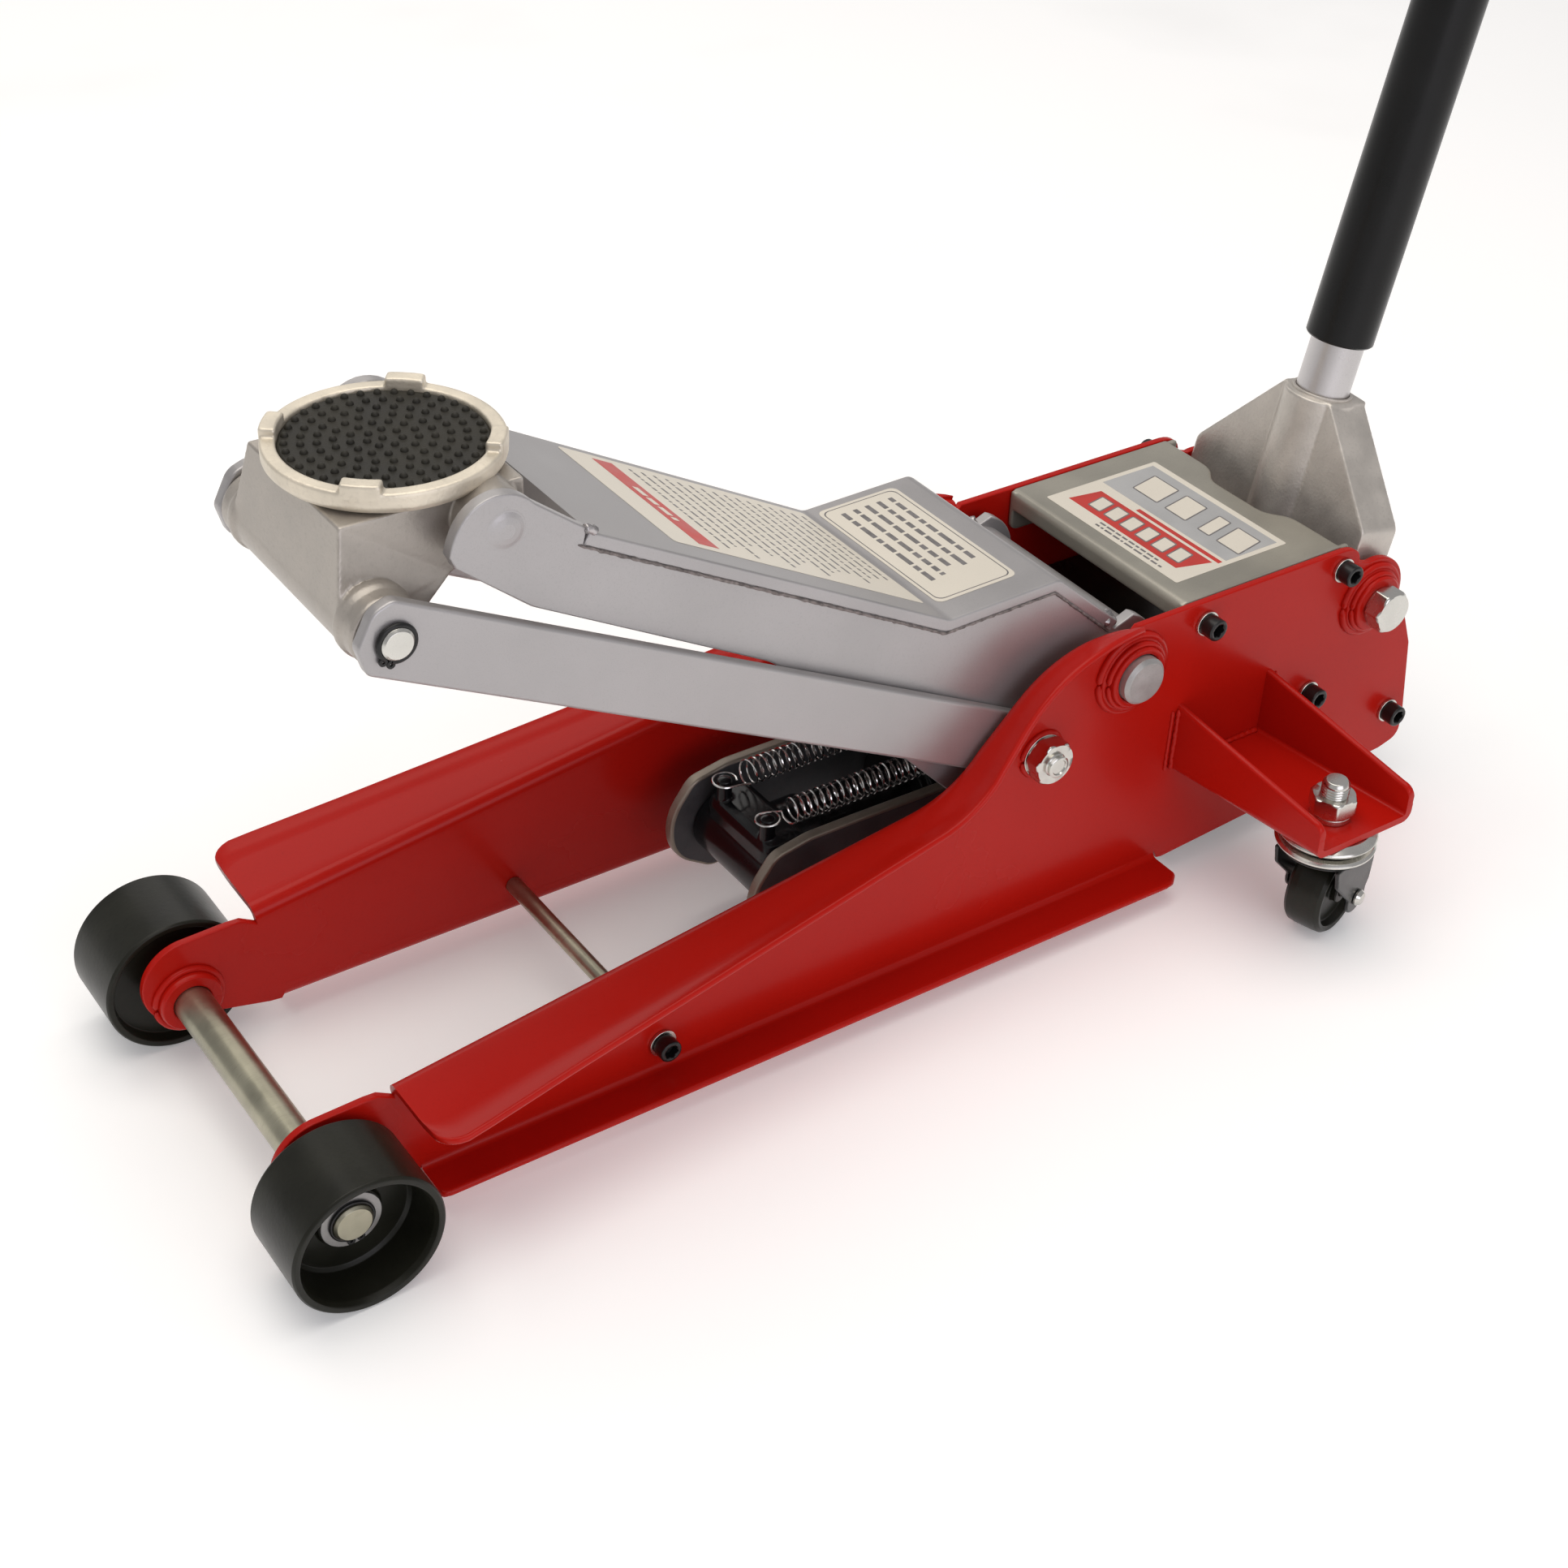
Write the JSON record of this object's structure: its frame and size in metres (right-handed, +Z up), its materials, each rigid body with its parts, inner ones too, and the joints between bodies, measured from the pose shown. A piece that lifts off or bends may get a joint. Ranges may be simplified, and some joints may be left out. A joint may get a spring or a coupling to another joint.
{
  "type": "floor jack",
  "caption": "Hydraulic trolley jack: steel chassis on front wheels and rear swivel casters, lift arm with a levelled swivelling saddle, ram with link plates and a long pump handle.",
  "frame": {"origin": "centre of the bounding box's footprint, on the floor", "axes": "+X towards the front wheels and the saddle, +Y to the left side, +Z up"},
  "size_m": [1.071, 0.439, 1.3082],
  "materials": {
    "red_paint": "glossy red enamel over bent and welded sheet",
    "bare_steel": "bare turned steel with a faint yellow tarnish",
    "black_steel": "black oxide and black paint, satin",
    "cover_paint": "olive grey hammered-looking paint",
    "zinc_plate": "bright zinc plating",
    "arm_paint": "satin silver-grey paint",
    "cast_metal": "cast surface with warm silver paint",
    "black_plastic": "satin black moulded plastic",
    "black_rubber": "matt black rubber"
  },
  "bodies": {
    "chassis": {"side_plate_left": "red_paint", "side_plate_right": "red_paint", "caster_bracket_left": "red_paint", "caster_bracket_right": "red_paint", "front_axle": "bare_steel", "tie_rod": "bare_steel", "arm_pivot_shaft": "bare_steel", "rod_pivot_bolt_left": "bare_steel", "rod_pivot_bolt_right": "bare_steel", "power_unit_body": "black_steel", "ram_cylinder": "black_steel", "tie_rod_screw_left": "black_steel", "tie_rod_screw_right": "black_steel", "cover_screw_front_left": "black_steel", "cover_screw_front_right": "black_steel", "cover_screw_rear_left": "black_steel", "cover_screw_rear_right": "black_steel", "unit_screw_front_left": "black_steel", "unit_screw_front_right": "black_steel", "unit_screw_rear_left": "black_steel", "unit_screw_rear_right": "black_steel", "cover_plate": "cover_paint", "rod_pivot_nut_left": "zinc_plate", "rod_pivot_nut_right": "zinc_plate", "handle_pivot_bolt_left": "zinc_plate", "handle_pivot_bolt_right": "zinc_plate", "caster_stud_left": "zinc_plate", "caster_stud_right": "zinc_plate", "caster_nut_left": "zinc_plate", "caster_nut_right": "zinc_plate", "return_spring_left": "zinc_plate", "return_spring_right": "zinc_plate"},
    "front_wheel_left": {"front_wheel_left": "black_plastic"},
    "front_wheel_right": {"front_wheel_right": "black_plastic"},
    "caster_left": {"caster_fork_left": "black_steel"},
    "caster_right": {"caster_fork_right": "black_steel"},
    "caster_wheel_left": {"caster_wheel_left": "black_plastic"},
    "caster_wheel_right": {"caster_wheel_right": "black_plastic"},
    "arm": {"lift_arm": "arm_paint", "link_pin_left": "bare_steel", "link_pin_right": "bare_steel", "head_upper_pin": "bare_steel"},
    "head": {"saddle_head": "cast_metal"},
    "saddle": {"saddle_cup": "cast_metal", "saddle_pad": "black_rubber"},
    "rods": {"radius_rod_left": "arm_paint", "radius_rod_right": "arm_paint", "head_lower_pin": "zinc_plate"},
    "ram": {"ram_rod": "black_steel", "cross_block": "black_steel"},
    "links": {"link_plate_left": "arm_paint", "link_plate_right": "arm_paint"},
    "socket": {"handle_socket": "cast_metal"},
    "handle": {"handle_tube": "arm_paint", "handle_sleeve": "black_rubber", "handle_grip": "black_rubber"},
    "pump_piston_left": {"pump_piston_left": "zinc_plate"},
    "pump_piston_right": {"pump_piston_right": "zinc_plate"},
    "release_valve": {"release_valve": "bare_steel"}
  },
  "joints": [
    {"name": "front_wheel_left_spin", "type": "hinge", "parent": "chassis", "child": "front_wheel_left", "pos_m": [0.4909, 0.125, 0.045], "axis": [0, 1, 0], "continuous": true},
    {"name": "caster_left_swivel", "type": "hinge", "parent": "chassis", "child": "caster_left", "pos_m": [-0.1681, 0.187, 0.075], "axis": [0, 0, 1], "continuous": true},
    {"name": "caster_wheel_left_spin", "type": "hinge", "parent": "caster_left", "child": "caster_wheel_left", "pos_m": [-0.18156, 0.18314, 0.032], "axis": [-0.2756, 0.9613, 0], "continuous": true},
    {"name": "front_wheel_right_spin", "type": "hinge", "parent": "chassis", "child": "front_wheel_right", "pos_m": [0.4909, -0.125, 0.045], "axis": [0, 1, 0], "continuous": true},
    {"name": "caster_right_swivel", "type": "hinge", "parent": "chassis", "child": "caster_right", "pos_m": [-0.1681, -0.187, 0.075], "axis": [0, 0, 1], "continuous": true},
    {"name": "caster_wheel_right_spin", "type": "hinge", "parent": "caster_right", "child": "caster_wheel_right", "pos_m": [-0.18156, -0.18314, 0.032], "axis": [0.2756, 0.9613, 0], "continuous": true},
    {"name": "arm_lift", "type": "hinge", "parent": "chassis", "child": "arm", "pos_m": [-0.0706, 0, 0.182], "axis": [0, -1, 0], "range_deg": [-32.5, 12.8]},
    {"name": "head_level", "type": "hinge", "parent": "arm", "child": "head", "pos_m": [0.3544, 0, 0.4005], "axis": [0, -1, 0], "range_deg": [-12.8, 32.5]},
    {"name": "saddle_swivel", "type": "hinge", "parent": "head", "child": "saddle", "pos_m": [0.3809, 0, 0.419], "axis": [0, 0, 1], "continuous": true},
    {"name": "rods_swing", "type": "hinge", "parent": "chassis", "child": "rods", "pos_m": [-0.0031, 0, 0.145], "axis": [0, -1, 0], "range_deg": [-32.5, 12.8]},
    {"name": "ram_stroke", "type": "slide", "parent": "chassis", "child": "ram", "axis": [1, 0, 0], "range_m": [-0.0605, 0.024], "deforming": ["return_spring_left", "return_spring_right"]},
    {"name": "links_swing", "type": "hinge", "parent": "ram", "child": "links", "pos_m": [0.1429, 0, 0.07], "axis": [0, 1, 0], "range_deg": [-5, 2]},
    {"name": "handle_pump", "type": "hinge", "parent": "chassis", "child": "socket", "pos_m": [-0.2821, 0, 0.1685], "axis": [0, -1, 0], "range_deg": [-4, 52]},
    {"name": "handle_twist", "type": "hinge", "parent": "socket", "child": "handle", "pos_m": [-0.2821, 0, 0.1685], "axis": [-0.2011, 0, 0.9796], "range_deg": [0, 90]},
    {"name": "valve_turn", "type": "hinge", "parent": "chassis", "child": "release_valve", "pos_m": [-0.2791, 0, 0.08], "axis": [0, 0, 1], "range_deg": [0, 90]},
    {"name": "pump_stroke_left", "type": "slide", "parent": "chassis", "child": "pump_piston_left", "axis": [1, 0, 0], "range_m": [-0.0028, 0.0353]},
    {"name": "pump_stroke_right", "type": "slide", "parent": "chassis", "child": "pump_piston_right", "axis": [1, 0, 0], "range_m": [-0.0028, 0.0353]}
  ],
  "couplings": [
    {"joint": "head_level", "follows": "arm_lift", "ratio": -1},
    {"joint": "rods_swing", "follows": "arm_lift", "ratio": 1},
    {"joint": "ram_stroke", "follows": "arm_lift", "m_per_rad": 0.106},
    {"joint": "links_swing", "follows": "arm_lift", "ratio": 0.15},
    {"joint": "valve_turn", "follows": "handle_twist", "ratio": 1},
    {"joint": "pump_stroke_left", "follows": "handle_pump", "m_per_rad": 0.0387},
    {"joint": "pump_stroke_right", "follows": "handle_pump", "m_per_rad": 0.0387}
  ]
}
